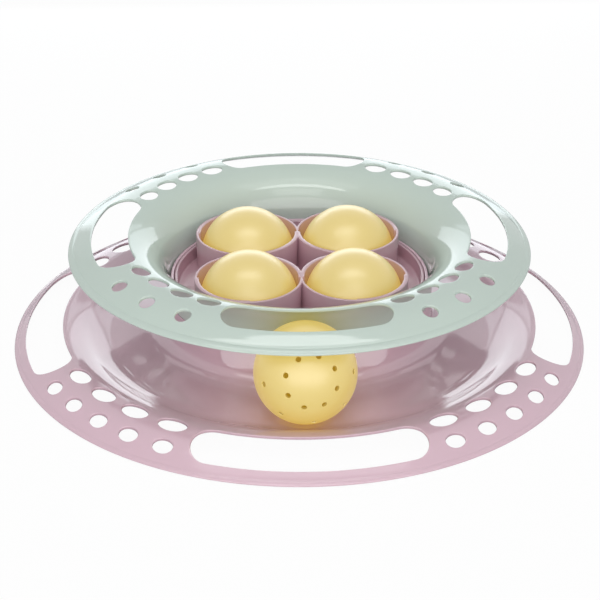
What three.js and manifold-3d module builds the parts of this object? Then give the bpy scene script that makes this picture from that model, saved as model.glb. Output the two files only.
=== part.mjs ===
// A cat ball track toy: a round base dish with a ball channel, a hub that stands in it, an upper dish
// that stacks on the hub, a tray of four treat cups in the hub, four cover balls and one perforated
// snack ball.
// Millimetres, +Z up. The origin is on the ground under the middle of the base.
import * as THREE from "three";
import { mergeVertices } from "three/addons/utils/BufferGeometryUtils.js";
import Module from "manifold-3d";

const wasm = await Module();
wasm.setup();

// Clearances
const SEAT_GAP = 0.3; // under a piece that rests on another
const SIDE_GAP = 0.3; // round a piece that slides out of another
const BALL_TRACK_GAP = 0.5; // between the snack ball and the collar beside it
const BALL_HEADROOM = 3.7; // between the snack ball and the upper dish

// Balls
const BALL_RADIUS = 19.8;
const BALL_WALL = 1.4;
const BALL_LAP = 1.6; // height of the lip that joins two half shells
const LAP_GAP = 0.4; // round that lip, so that its facets can turn
const SNACK_HOLE_RADIUS = 1;
const SNACK_HOLES_PER_ROW = 8;
const SNACK_ROW_ANGLES = [30.5, 60]; // degrees from the blank pole
const SNACK_ROW_PHASES = [27, 4.5]; // degrees round the pole
const SNACK_POLE_BEARING = -84.6; // degrees from +X, where the blank pole points
const SNACK_POLE_ELEVATION = 17.6; // degrees above level
const SNACK_BALL_BEARING = -90.5; // degrees from +X, where the ball lies in the channel

// Foot pads
const PAD_RADIUS = 8;
const PAD_HEIGHT = 1.7;
const PAD_BOND = 0.1; // adhesive between a pad and the base

// Treat tray
const CUP_GUIDE = 0.8; // the guides stand this far into a cup's bore
const CUP_GUIDE_SPREAD = 90; // degrees of the bore that one guide covers
const CUP_WALL = 1.1;
const CUP_MERGE = 1.3; // how far neighbouring cups run into each other
const CUP_RISE = 9.5; // rim above the middle of the cover ball
const CUP_LEDGE = 1.6;
const WELL_RADIUS = 12;
const WELL_WALL = 1.5;
const WELL_FLOOR = 1.5;
const TREAT_DEPTH = 2.2; // under the cover ball
const TRAY_WALL = 1.3;
const TRAY_FLOOR = 1.6;
const TRAY_FLOOR_RISE = 1; // tray floor above the hub's shoulder

// Base dish
const BASE_WALL = 1.2;
const BASE_RIM_CLEARANCE = 0.6; // rim above the ground
const BASE_RIM_EDGE = 0.6;
const BASE_BRIM = 19.5; // crest to rim
const BASE_SKIRT_SLOPE = 33; // degrees, of the straight part of the brim
const BASE_SLOPE_RUN = 21.9; // channel floor to crest
const BASE_SLOPE_RISE = 5.9;
const CHANNEL_FLAT = 2.6; // flat floor outside the snack ball's lowest point

// Hub
const HUB_FILLET = 2;
const HUB_WALL = 1.3;
const HUB_SHOULDER_RISE = 17.8; // shoulder above the channel floor
const HUB_RING_RISE = 6.8; // ring above the shoulder
const KEY_WIDTH = 4;
const KEY_HEIGHT = 3.4;

// Upper dish
const UPPER_WALL = 1.2;
const UPPER_RIM_EDGE = 0.65;
const UPPER_RIM_DROP = 6.85; // crest to the rim's lower edge
const UPPER_BRIM = 19.3; // crest to rim
const UPPER_SKIRT_SLOPE = 25.5; // degrees
const COLLAR_WALL = 1.6;
const COLLAR_HEIGHT = 4.7;

// Slots and holes in a brim: places are measured outwards from its crest, angles are in degrees.
// A hole is an ellipse with half its length round the brim and half its width across the brim.
const QUARTER_TURNS = 4;
const BASE_SLOT = { start: -1, width: 15.7, spread: 48 };
const BASE_HOLE_ROWS = [
  { place: 1.6, halfLength: 6.1, halfWidth: 3.6, angles: [-15, -5, 5, 15] },
  { place: 11.95, halfLength: 4.2, halfWidth: 2.75, angles: [-16, -8, 0, 8, 16] },
];
const UPPER_SLOT = { start: -5.4, width: 15.1, spread: 48 };
const UPPER_HOLE_ROWS = [
  { place: -2.6, halfLength: 4.95, halfWidth: 3.35, angles: [-15, -5, 5, 15] },
  { place: 9.2, halfLength: 3.2, halfWidth: 3, angles: [-12, 0, 12] },
];

// Facets
const DISH_SIDES = 48;
const TRAY_SIDES = 40;
const CUP_SIDES = 20;
const BALL_SIDES = 20;
const BALL_RINGS = 4;
const HOLE_SIDES = 10;
const SNACK_HOLE_SIDES = 6;
const ARC_STEPS = 4;
const BEND_STEPS = 3;
const BOWL_STEPS = 5;
const HIDDEN_ARC_STEPS = 2;
const OVERCUT = 5; // how far a cutter runs past what it cuts
const BITE = 0.4; // how far an added piece sinks into what carries it

const degrees = THREE.MathUtils.degToRad;

// Radii, from the cups outwards
const cupBore = BALL_RADIUS + SIDE_GAP + CUP_GUIDE;
const cupOuter = cupBore + CUP_WALL;
const cupPlace = (2 * cupOuter - CUP_MERGE) / Math.SQRT2;
const trayOuter = cupPlace + cupOuter;
const hubBore = trayOuter + SIDE_GAP;
const hubRingOuter = hubBore + HUB_WALL;
const collarBore = hubRingOuter + SIDE_GAP;
const collarOuter = collarBore + COLLAR_WALL;
const hubOuter = collarOuter;
const trackRadius = collarOuter + BALL_TRACK_GAP + BALL_RADIUS;
const channelEdge = trackRadius + CHANNEL_FLAT;
const baseCrest = channelEdge + BASE_SLOPE_RUN;
const upperCrest = trackRadius;

// Heights, from the ground upwards
const baseUnderside = PAD_HEIGHT + PAD_BOND;
const channelFloor = baseUnderside + BASE_WALL;
const baseCrestHeight = channelFloor + BASE_SLOPE_RISE;
const shoulderHeight = channelFloor + HUB_SHOULDER_RISE;
const hubRingHeight = shoulderHeight + HUB_RING_RISE;
const snackBallHeight = channelFloor + SEAT_GAP + BALL_RADIUS;
const collarFoot = shoulderHeight + SEAT_GAP;
const bowlFoot = collarFoot + COLLAR_HEIGHT;
const upperCrestHeight = snackBallHeight + BALL_RADIUS + BALL_HEADROOM + UPPER_WALL;
const wellFoot = channelFloor + SEAT_GAP;
const wellFloor = wellFoot + WELL_FLOOR;
const coverBallHeight = wellFloor + TREAT_DEPTH + BALL_RADIUS;
const cupRim = coverBallHeight + CUP_RISE;
const ledgeHeight = coverBallHeight - Math.sqrt((BALL_RADIUS + SEAT_GAP) ** 2 - WELL_RADIUS ** 2);
const trayFloor = shoulderHeight + TRAY_FLOOR_RISE;

// Materials
function plastic(name, colour, roughness) {
  return new THREE.MeshStandardMaterial({ name, color: colour, roughness, metalness: 0 });
}
const pinkPlastic = plastic("pink_plastic", 0xcfb2bd, 0.2);
const mintPlastic = plastic("mint_plastic", 0xc0d4c8, 0.2);
const yellowPlastic = plastic("yellow_plastic", 0xecd689, 0.42);
const greyRubber = plastic("grey_rubber", 0x8d8a8c, 0.85);

// Geometry into a solid, and a solid back into geometry
function solidFrom(geometry) {
  const bare = geometry.index ? geometry.toNonIndexed() : geometry.clone();
  bare.deleteAttribute("normal");
  bare.deleteAttribute("uv");
  const merged = mergeVertices(bare, 1e-4);
  const corners = merged.index.array;
  const triangles = [];
  for (let i = 0; i < corners.length; i += 3) {
    const [a, b, c] = [corners[i], corners[i + 1], corners[i + 2]];
    if (a !== b && b !== c && c !== a) {
      triangles.push(a, b, c);
    }
  }
  const vertProperties = new Float32Array(merged.attributes.position.array);
  const triVerts = new Uint32Array(triangles);
  return new wasm.Manifold(new wasm.Mesh({ numProp: 3, vertProperties, triVerts }));
}

function geometryFrom(solid) {
  const mesh = solid.getMesh();
  const geometry = new THREE.BufferGeometry();
  geometry.setAttribute("position", new THREE.BufferAttribute(mesh.vertProperties, 3));
  geometry.setIndex(new THREE.BufferAttribute(mesh.triVerts, 1));
  geometry.computeVertexNormals();
  return geometry;
}

function namedMesh(name, solid, material) {
  const mesh = new THREE.Mesh(geometryFrom(solid), material);
  mesh.name = name;
  return mesh;
}

// A profile of [radius, height] points, listed clockwise, turned round the Z axis
function turned(profile, sides) {
  const points = profile.map(([radius, height]) => new THREE.Vector2(Math.max(radius, 0), height)).reverse();
  return solidFrom(new THREE.LatheGeometry(points, sides).rotateX(Math.PI / 2));
}

function upright(shape, foot, height) {
  const geometry = new THREE.ExtrudeGeometry(shape, {
    depth: height,
    bevelEnabled: false,
    curveSegments: ARC_STEPS,
  });
  return solidFrom(geometry.translate(0, 0, foot));
}

// Points on an ellipse's arc from one angle to another, in degrees
function arc(centre, reach, from, to, steps = ARC_STEPS) {
  const points = [];
  for (let i = 0; i <= steps; i += 1) {
    const angle = degrees(from + ((to - from) * i) / steps);
    points.push([centre[0] + reach[0] * Math.cos(angle), centre[1] + reach[1] * Math.sin(angle)]);
  }
  return points;
}

function cutAll(solid, cutters) {
  return cutters.reduce((rest, cutter) => rest.subtract(cutter), solid);
}

function joinAll(solid, additions) {
  return additions.reduce((whole, addition) => whole.add(addition), solid);
}

function quarterAngles(first) {
  return Array.from({ length: QUARTER_TURNS }, (_, turn) => first + (360 / QUARTER_TURNS) * turn);
}

// The four slots on the axes and the four groups of holes between them
function brimCutters(crest, slot, holeRows, foot, height) {
  const inner = crest + slot.start;
  const outer = inner + slot.width;
  const middle = (inner + outer) / 2;
  const endRadius = slot.width / 2;
  const endAngle = degrees(slot.spread / 2) - Math.asin(endRadius / middle);
  const endX = middle * Math.cos(endAngle);
  const endY = middle * Math.sin(endAngle);
  const outline = new THREE.Shape();
  outline.absarc(0, 0, outer, -endAngle, endAngle, false);
  outline.absarc(endX, endY, endRadius, endAngle, endAngle + Math.PI, false);
  outline.absarc(0, 0, inner, endAngle, -endAngle, true);
  outline.absarc(endX, -endY, endRadius, Math.PI - endAngle, 2 * Math.PI - endAngle, false);
  const slotCutter = upright(outline, foot, height);
  const cutters = quarterAngles(0).map((angle) => slotCutter.rotate([0, 0, angle]));
  for (const row of holeRows) {
    const drill = new THREE.CylinderGeometry(1, 1, height, HOLE_SIDES);
    drill.rotateX(Math.PI / 2).scale(row.halfWidth, row.halfLength, 1);
    const holeCutter = solidFrom(drill.translate(crest + row.place, 0, foot + height / 2));
    for (const middleAngle of quarterAngles(180 / QUARTER_TURNS)) {
      for (const angle of row.angles) {
        cutters.push(holeCutter.rotate([0, 0, middleAngle + angle]));
      }
    }
  }
  return cutters;
}

// The section of a brim outside its crest: a bend that runs into a straight skirt, the rim's edge and
// the underside
function brimSection(crest, crestHeight, width, wall, edge, rimHeight, skirtSlope) {
  const fall = Math.tan(degrees(skirtSlope));
  const drop = crestHeight - rimHeight - edge;
  const bend = (width * fall - drop) / (1 / Math.cos(degrees(skirtSlope)) - 1);
  const centre = [crest, crestHeight - bend];
  const under = bend - wall;
  const underBend = arc(centre, [under, under], 90 - skirtSlope, 90, HIDDEN_ARC_STEPS);
  const [skirtRadius, skirtHeight] = underBend[0];
  return [
    ...arc(centre, [bend, bend], 90, 90 - skirtSlope, BEND_STEPS),
    [crest + width, rimHeight + edge],
    [crest + width, rimHeight],
    [skirtRadius + (skirtHeight - rimHeight) / fall, rimHeight],
    ...underBend,
  ];
}

function baseDish() {
  const lean = 2 * Math.atan(BASE_SLOPE_RISE / BASE_SLOPE_RUN);
  const bend = BASE_SLOPE_RUN / Math.sin(lean) / 2;
  const leanAngle = THREE.MathUtils.radToDeg(lean);
  const hollow = [channelEdge, channelFloor + bend];
  const hump = [baseCrest, baseCrestHeight - bend];
  const rimHeight = BASE_RIM_CLEARANCE;
  const brim = brimSection(
    baseCrest, baseCrestHeight, BASE_BRIM, BASE_WALL, BASE_RIM_EDGE, rimHeight, BASE_SKIRT_SLOPE,
  );
  const profile = [
    [0, channelFloor],
    ...arc(hollow, [bend, bend], 270, 270 + leanAngle, BEND_STEPS),
    ...arc(hump, [bend, bend], 90 + leanAngle, 90, BEND_STEPS).slice(1),
    ...brim.slice(1),
    ...arc(hump, [bend - BASE_WALL, bend - BASE_WALL], 90, 90 + leanAngle, HIDDEN_ARC_STEPS).slice(1),
    ...arc(hollow, [bend + BASE_WALL, bend + BASE_WALL], 270 + leanAngle, 270, HIDDEN_ARC_STEPS).slice(1),
    [0, baseUnderside],
  ];
  const cutterHeight = baseCrestHeight + 2 * OVERCUT;
  const cutters = brimCutters(baseCrest, BASE_SLOT, BASE_HOLE_ROWS, -OVERCUT, cutterHeight);
  return namedMesh("base_dish", cutAll(turned(profile, DISH_SIDES), cutters), pinkPlastic);
}

// The hub's wall with its foot, its shoulder, the ring that the collar goes round and four keys
function hub() {
  const foot = channelFloor + SEAT_GAP;
  const fillet = [hubOuter + HUB_FILLET, foot + HUB_FILLET];
  const profile = [
    [hubBore, foot],
    [hubBore, hubRingHeight],
    [hubRingOuter, hubRingHeight],
    [hubRingOuter, shoulderHeight],
    [hubOuter, shoulderHeight],
    ...arc(fillet, [HUB_FILLET, HUB_FILLET], 180, 270, HIDDEN_ARC_STEPS),
    [hubBore, foot],
  ];
  const keyDepth = hubOuter - hubRingOuter;
  const keyBlock = new THREE.BoxGeometry(keyDepth + BITE, KEY_WIDTH, KEY_HEIGHT + BITE);
  keyBlock.translate(hubOuter - (keyDepth + BITE) / 2, 0, shoulderHeight + (KEY_HEIGHT - BITE) / 2);
  const key = solidFrom(keyBlock);
  const keys = quarterAngles(0).map((angle) => key.rotate([0, 0, angle]));
  return namedMesh("hub", joinAll(turned(profile, DISH_SIDES), keys), pinkPlastic);
}

function upperDish() {
  const rimHeight = upperCrestHeight - UPPER_RIM_DROP;
  const middle = [upperCrest, bowlFoot];
  const inside = [upperCrest - collarBore, upperCrestHeight - bowlFoot];
  const outside = [upperCrest - collarOuter, inside[1] - UPPER_WALL];
  const brim = brimSection(
    upperCrest, upperCrestHeight, UPPER_BRIM, UPPER_WALL, UPPER_RIM_EDGE, rimHeight, UPPER_SKIRT_SLOPE,
  );
  const profile = [
    [collarBore, collarFoot],
    ...arc(middle, inside, 180, 90, BOWL_STEPS),
    ...brim.slice(1),
    ...arc(middle, outside, 90, 180, BOWL_STEPS).slice(1),
    [collarOuter, collarFoot],
    [collarBore, collarFoot],
  ];
  const notchWidth = KEY_WIDTH + 2 * SIDE_GAP;
  const notchBlock = new THREE.BoxGeometry(2 * OVERCUT, notchWidth, KEY_HEIGHT + OVERCUT);
  notchBlock.translate(collarBore, 0, collarFoot + (KEY_HEIGHT - OVERCUT) / 2);
  const notch = solidFrom(notchBlock);
  const notches = quarterAngles(0).map((angle) => notch.rotate([0, 0, angle]));
  const cutterHeight = UPPER_RIM_DROP + 2 * OVERCUT;
  const cutters = brimCutters(upperCrest, UPPER_SLOT, UPPER_HOLE_ROWS, rimHeight - OVERCUT, cutterHeight);
  return namedMesh("upper_dish", cutAll(turned(profile, DISH_SIDES), [...notches, ...cutters]), mintPlastic);
}

function treatTray() {
  const plate = turned([
    [0, trayFloor],
    [trayOuter - TRAY_WALL, trayFloor],
    [trayOuter - TRAY_WALL, hubRingHeight],
    [trayOuter, hubRingHeight],
    [trayOuter, trayFloor - TRAY_FLOOR],
    [0, trayFloor - TRAY_FLOOR],
  ], TRAY_SIDES);
  const cup = turned([
    [0, cupRim],
    [cupOuter, cupRim],
    [cupOuter, ledgeHeight - CUP_LEDGE],
    [WELL_RADIUS + WELL_WALL, ledgeHeight - CUP_LEDGE],
    [WELL_RADIUS + WELL_WALL, wellFoot],
    [0, wellFoot],
  ], CUP_SIDES);
  const bore = turned([
    [0, cupRim + OVERCUT],
    [cupBore, cupRim + OVERCUT],
    [cupBore, ledgeHeight],
    [WELL_RADIUS, ledgeHeight],
    [WELL_RADIUS, wellFloor],
    [0, wellFloor],
  ], CUP_SIDES);
  const halfSpread = degrees(CUP_GUIDE_SPREAD / 2);
  const outline = new THREE.Shape();
  outline.absarc(0, 0, cupBore + BITE, -halfSpread, halfSpread, false);
  outline.absarc(0, 0, cupBore - CUP_GUIDE, halfSpread, -halfSpread, true);
  const guide = upright(outline, ledgeHeight - BITE, cupRim - ledgeHeight + BITE);
  const cupAngles = quarterAngles(180 / QUARTER_TURNS);
  const placed = (solid) => cupAngles.map((angle) => solid.translate([cupPlace, 0, 0]).rotate([0, 0, angle]));
  const body = cutAll(joinAll(plate, placed(cup)), placed(bore));
  const guides = [...placed(guide), ...placed(guide.rotate([0, 0, 180]))];
  return namedMesh("treat_tray", joinAll(body, guides), pinkPlastic);
}

// Two half shells about a ball's middle. The lower one carries the lip, the upper one laps over it.
function halfShells() {
  const inner = BALL_RADIUS - BALL_WALL;
  const lipOuter = BALL_RADIUS - BALL_WALL / 2 - LAP_GAP / 2;
  const lapInner = lipOuter + LAP_GAP;
  const lapFoot = SEAT_GAP;
  const lapTop = BALL_LAP + SEAT_GAP;
  const foot = THREE.MathUtils.radToDeg(Math.asin(lapFoot / BALL_RADIUS));
  const roof = THREE.MathUtils.radToDeg(Math.asin(lapTop / inner));
  const lower = turned([
    ...arc([0, 0], [inner, inner], 270, 360, BALL_RINGS - 1),
    [inner, BALL_LAP],
    [lipOuter, BALL_LAP],
    [lipOuter, 0],
    ...arc([0, 0], [BALL_RADIUS, BALL_RADIUS], 360, 270, BALL_RINGS),
  ], BALL_SIDES);
  const upper = turned([
    ...arc([0, 0], [BALL_RADIUS, BALL_RADIUS], 90, foot, BALL_RINGS),
    [lapInner, lapFoot],
    [lapInner, lapTop],
    ...arc([0, 0], [inner, inner], roof, 90, BALL_RINGS - 1),
  ], BALL_SIDES);
  return { lower, upper };
}

function snackHoleCutters() {
  const cutters = [];
  const drill = new THREE.CylinderGeometry(SNACK_HOLE_RADIUS, SNACK_HOLE_RADIUS, OVERCUT, SNACK_HOLE_SIDES);
  const hole = solidFrom(drill.rotateX(Math.PI / 2).translate(0, 0, BALL_RADIUS - BALL_WALL / 2));
  SNACK_ROW_ANGLES.forEach((angle, row) => {
    for (let turn = 0; turn < SNACK_HOLES_PER_ROW; turn += 1) {
      const phase = SNACK_ROW_PHASES[row] + (360 / SNACK_HOLES_PER_ROW) * turn;
      cutters.push(hole.rotate([0, angle, 0]).rotate([0, 0, phase]));
    }
  });
  return cutters;
}

function coverBall(number, shells) {
  const ball = new THREE.Group();
  ball.add(namedMesh(`cover_ball_${number}_lower`, shells.lower, yellowPlastic));
  ball.add(namedMesh(`cover_ball_${number}_upper`, shells.upper, yellowPlastic));
  const angle = degrees(quarterAngles(180 / QUARTER_TURNS)[number - 1]);
  ball.position.set(cupPlace * Math.cos(angle), cupPlace * Math.sin(angle), coverBallHeight);
  return ball;
}

function snackBall(shells) {
  const cutters = snackHoleCutters();
  const backCutters = cutters.map((cutter) => cutter.rotate([180, 0, 0]));
  const ball = new THREE.Group();
  ball.add(namedMesh("snack_ball_front", cutAll(shells.upper, cutters), yellowPlastic));
  ball.add(namedMesh("snack_ball_back", cutAll(shells.lower, backCutters), yellowPlastic));
  const bearing = degrees(SNACK_BALL_BEARING);
  ball.position.set(trackRadius * Math.cos(bearing), trackRadius * Math.sin(bearing), snackBallHeight);
  ball.rotation.set(degrees(90 - SNACK_POLE_ELEVATION), 0, degrees(SNACK_POLE_BEARING + 90), "ZXY");
  return ball;
}

function footPads() {
  const pad = new THREE.CylinderGeometry(PAD_RADIUS, PAD_RADIUS, PAD_HEIGHT, CUP_SIDES);
  const solid = solidFrom(pad.rotateX(Math.PI / 2).translate(0, 0, PAD_HEIGHT / 2));
  const place = (hubOuter + channelEdge) / 2;
  return quarterAngles(180 / QUARTER_TURNS).map((angle, index) => {
    const mesh = namedMesh(`foot_pad_${index + 1}`, solid, greyRubber);
    mesh.position.set(place * Math.cos(degrees(angle)), place * Math.sin(degrees(angle)), 0);
    return mesh;
  });
}

const toy = new THREE.Group();
const shells = halfShells();
toy.add(baseDish(), hub(), upperDish(), treatTray(), snackBall(shells), ...footPads());
for (let number = 1; number <= QUARTER_TURNS; number += 1) {
  toy.add(coverBall(number, shells));
}

export default toy;
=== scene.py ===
# %% [markdown]
# # A cat ball track toy
# The toy is a stack of moulded plastic pieces: a pink base dish with a ball channel, a mint upper dish on
# the base's hub, a pink tray of four treat cups inside, four yellow balls that cover the cups and one
# perforated yellow ball in the channel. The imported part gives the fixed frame, so each piece made here
# goes where the part says, rides on that body and stands for its plain solid.

# %% Load the frame
import math

import bmesh
import bpy
from mathutils import Matrix, Vector


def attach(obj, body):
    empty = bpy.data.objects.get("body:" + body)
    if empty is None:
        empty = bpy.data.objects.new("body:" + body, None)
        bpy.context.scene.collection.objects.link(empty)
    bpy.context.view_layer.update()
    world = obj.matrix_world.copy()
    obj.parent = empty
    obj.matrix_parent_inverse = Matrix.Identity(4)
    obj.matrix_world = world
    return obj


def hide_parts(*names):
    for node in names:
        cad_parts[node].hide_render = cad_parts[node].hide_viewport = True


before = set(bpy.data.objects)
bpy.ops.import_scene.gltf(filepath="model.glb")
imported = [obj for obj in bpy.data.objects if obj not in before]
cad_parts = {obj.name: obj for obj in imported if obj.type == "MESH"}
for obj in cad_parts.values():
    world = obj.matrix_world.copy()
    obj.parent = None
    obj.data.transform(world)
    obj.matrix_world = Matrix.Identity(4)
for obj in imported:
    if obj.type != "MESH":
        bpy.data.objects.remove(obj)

scene = bpy.context.scene
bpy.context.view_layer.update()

# %% [markdown]
# ## Sizes
# The sizes are those of the part, in millimetres: a few driving sizes, from which the radii follow
# outwards and the heights upwards. Each mesh is drawn in millimetres too, because the numbers are then
# easy to read, and its last step scales it to metres. Working in metres from the start would do as well.

# %% Driving sizes, in millimetres
SLIP = 0.3
DISH_WALL = 1.2
PAD_HEIGHT = 1.7
PAD_BOND = 0.1
BALL_RADIUS = 19.8
BALL_WALL = 1.4
BALL_SIDE_GAP = 0.5
BALL_HEADROOM = 3.7
CUP_PLACE = 30.194
CUP_GUIDE = 0.8
CUP_WALL = 1.1
CUP_RISE = 9.5
LEDGE = 10.67
LEDGE_WALL = 1.6
WELL_RADIUS = 12
WELL_WALL = 1.5
TREAT_DEPTH = 2.2
TRAY_FLOOR_RISE = 1
HUB_WALL = 1.3
SHOULDER_RISE = 17.8
RING_RISE = 6.8
COLLAR_WALL = 1.6
COLLAR_HEIGHT = 4.7
CHANNEL_FLAT = 2.6
SLOPE_RUN = 21.9
SLOPE_RISE = 5.9
BASE_BRIM = 19.5
UPPER_BRIM = 19.3
print("ball:", 2 * BALL_RADIUS, "mm across")

# %% Radii from the cups outwards, and heights from the ground upwards
CUP_BORE = BALL_RADIUS + SLIP + CUP_GUIDE
CUP_OUTER = CUP_BORE + CUP_WALL
TRAY_OUTER = CUP_PLACE + CUP_OUTER
HUB_BORE = TRAY_OUTER + SLIP
HUB_RING = HUB_BORE + HUB_WALL
COLLAR_BORE = HUB_RING + SLIP
HUB_OUTER = COLLAR_BORE + COLLAR_WALL
TRACK_RADIUS = HUB_OUTER + BALL_SIDE_GAP + BALL_RADIUS
CHANNEL_EDGE = TRACK_RADIUS + CHANNEL_FLAT
BASE_CREST = CHANNEL_EDGE + SLOPE_RUN
BASE_RIM = BASE_CREST + BASE_BRIM
UPPER_RIM = TRACK_RADIUS + UPPER_BRIM

CHANNEL_FLOOR = PAD_HEIGHT + PAD_BOND + DISH_WALL
BASE_CREST_HEIGHT = CHANNEL_FLOOR + SLOPE_RISE
SHOULDER = CHANNEL_FLOOR + SHOULDER_RISE
HUB_TOP = SHOULDER + RING_RISE
SNACK_BALL_HEIGHT = CHANNEL_FLOOR + SLIP + BALL_RADIUS
COLLAR_FOOT = SHOULDER + SLIP
BOWL_FOOT = COLLAR_FOOT + COLLAR_HEIGHT
UPPER_CREST_HEIGHT = SNACK_BALL_HEIGHT + BALL_RADIUS + BALL_HEADROOM + DISH_WALL
WELL_FOOT = CHANNEL_FLOOR + SLIP
WELL_FLOOR = WELL_FOOT + WELL_WALL
COVER_BALL_HEIGHT = WELL_FLOOR + TREAT_DEPTH + BALL_RADIUS
CUP_RIM = COVER_BALL_HEIGHT + CUP_RISE
TRAY_FLOOR = SHOULDER + TRAY_FLOOR_RISE
print("base dish:", round(2 * BASE_RIM, 1), "mm across, upper dish:", round(2 * UPPER_RIM, 1), "mm across")

# %% [markdown]
# ## A pen for sections
# Round mouldings are easiest as a section that is turned about an axis, just as their moulds are turned
# on a lathe. The pen draws such a section in the XZ plane: it extrudes its last vertex along a line, or
# spins it along an arc. Sharp corners are then rounded by a vertex bevel, since no moulded edge is sharp.

# %% The pen
SAME_POINT = 1e-4


class Pen:
    """Draws one closed section, from point to point, clockwise with +X to the right and +Z up."""

    def __init__(self, radius, height):
        self.section = bmesh.new()
        self.start = self.tip = self.section.verts.new((radius, 0, height))
        self.corners = {}

    def line(self, radius, height, rounding=0):
        grown = bmesh.ops.extrude_vert_indiv(self.section, verts=[self.tip])
        self.tip = grown["verts"][0]
        self.tip.co = (radius, 0, height)
        if rounding:
            self.corners.setdefault(rounding, []).append(self.tip)
        return self

    def along(self, radii, height):
        for radius in radii:
            self.line(radius, height(radius))
        return self

    def arc(self, radius, height, turn, steps):
        spun = bmesh.ops.spin(
            self.section, geom=[self.tip], cent=(radius, 0, height), axis=(0, 1, 0),
            angle=math.radians(turn), steps=steps,
        )
        self.tip = spun["geom_last"][0]
        return self

    def close(self, segments=3):
        apart = (self.tip.co - self.start.co).length > SAME_POINT
        off_axis = self.start.co.x + self.tip.co.x > SAME_POINT
        if apart and off_axis:
            self.section.edges.new((self.tip, self.start))
        for rounding, verts in self.corners.items():
            bmesh.ops.bevel(
                self.section, geom=verts, offset=rounding, segments=segments, profile=0.5,
                affect="VERTICES", material=-1,
            )
        bmesh.ops.remove_doubles(self.section, verts=self.section.verts, dist=SAME_POINT)
        return self.section


print("vertices of a section closer than", SAME_POINT, "mm are one")

# %% The lathe
COLUMNS = 720
SEAM = 0.004
QUARTER = math.tau / 4


def everything(mesh_data):
    return mesh_data.verts[:] + mesh_data.edges[:] + mesh_data.faces[:]


def grown_verts(grown):
    return [element for element in grown if isinstance(element, bmesh.types.BMVert)]


def turned_about_z(angle):
    return Matrix.Rotation(angle, 3, "Z")


def turn_on_lathe(section, steps):
    """Spins a section a quarter turn about Z, repeats that quarter and closes the seams and poles."""
    bmesh.ops.spin(
        section, geom=everything(section), cent=(0, 0, 0), axis=(0, 0, 1), angle=QUARTER, steps=steps // 4
    )
    for turn in (QUARTER, 2 * QUARTER):
        copied = grown_verts(bmesh.ops.duplicate(section, geom=everything(section))["geom"])
        bmesh.ops.rotate(section, cent=(0, 0, 0), matrix=turned_about_z(turn), verts=copied)
    bmesh.ops.remove_doubles(section, verts=section.verts, dist=SEAM)
    bmesh.ops.recalc_face_normals(section, faces=section.faces)
    return section


def spaced(first, last, steps):
    """The points after first up to last, evenly spaced."""
    return [first + (last - first) * step / steps for step in range(1, steps + 1)]


print("columns round a dish:", COLUMNS)

# %% [markdown]
# ## Nodes as sums
# A finish is a small net of nodes. Written node by node, it is long and hard to follow, so one class
# stands for an output socket and lets sockets be added, multiplied and compared like numbers. All other
# nodes come from one method, which takes a node's type, its settings and the values or links of its
# sockets.

# %% Sockets that can be added and multiplied


class Wire:
    """One output socket. Arithmetic on it adds Math nodes."""

    def __init__(self, finish, socket):
        self.finish = finish
        self.socket = socket

    def maths(self, operation, first, second):
        return self.finish.node("ShaderNodeMath", {"operation": operation}, {0: first, 1: second})

    def __add__(self, other):
        return self.maths("ADD", self, other)

    def __sub__(self, other):
        return self.maths("SUBTRACT", self, other)

    def __rsub__(self, other):
        return self.maths("SUBTRACT", other, self)

    def __mul__(self, other):
        return self.maths("MULTIPLY", self, other)

    def __lt__(self, other):
        return self.maths("LESS_THAN", self, other)

    def __gt__(self, other):
        return self.maths("GREATER_THAN", self, other)

    __radd__ = __add__
    __rmul__ = __mul__


class Finish:
    """The nodes of one material, or of the world, which are added one by one."""

    def __init__(self, owner):
        owner.use_nodes = True
        self.owner = owner
        self.tree = owner.node_tree
        self.tree.nodes.clear()

    def node(self, kind, settings=None, inputs=None, output=0):
        made = self.tree.nodes.new(kind)
        for name, value in (settings or {}).items():
            setattr(made, name, value)
        for name, value in (inputs or {}).items():
            if isinstance(value, Wire):
                self.tree.links.new(value.socket, made.inputs[name])
            else:
                made.inputs[name].default_value = value
        return Wire(self, made.outputs[output]) if made.outputs else None

    def surface(self, shader, kind="ShaderNodeOutputMaterial"):
        self.node(kind, inputs={"Surface": shader})
        return self.owner


def linear(red, green, blue):
    """An sRGB colour, as read off a picture, in the linear values that shaders use."""
    channels = [c / 12.92 if c <= 0.04045 else ((c + 0.055) / 1.055) ** 2.4 for c in (red, green, blue)]
    return (*channels, 1)


print("mid grey in linear values:", round(linear(0.5, 0.5, 0.5)[0], 3))

# %% [markdown]
# ## Plastic finishes
# All the plastics are coloured in the mass, so their colour hardly changes, but a moulded skin is never
# perfectly even: it has faint flow clouds, a very fine ripple and a gloss that changes a little. Three
# noises on Object coordinates give that. A flat colour would look like a drawing, and an image would
# stretch over the curves. The dishes are glossy and the balls satin under a soft coat. The balls are also
# thin shells that let light through. True scattering in a shell is slow to render, so a steady emission
# paints light on the balls: it stands for the light through the shell and for the light bounced from the
# plastic round them, and keeps their shaded sides bright. A deeper painted glow inside the perforated
# ball makes its holes look ochre.

# %% A moulded finish
CLOUD_SCALE = 34.0
SPECK_SCALE = 900.0
CLOUD_SHARE = 0.7
RIPPLE_DEPTH = 0.0002
PLASTIC_IOR = 1.5
COAT_ROUGHNESS = 0.34
BALL_SKIN = 0.0195
# Painted light: steady emission on the balls, for light through their shells and light bounced from the
# dishes and cups; deeper inside the snack ball.
COVER_PAINTED_LIGHT = (0.42, 0.28, 0.034, 1)
SNACK_PAINTED_LIGHT = (0.49, 0.33, 0.042, 1)
INSIDE_PAINTED_LIGHT = (0.24, 0.135, 0.008, 1)


def mixed(finish, share, first, second):
    """A colour between two others."""
    return finish.node("ShaderNodeMix", {"data_type": "RGBA"}, {0: share, 6: first, 7: second}, output=2)


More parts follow.
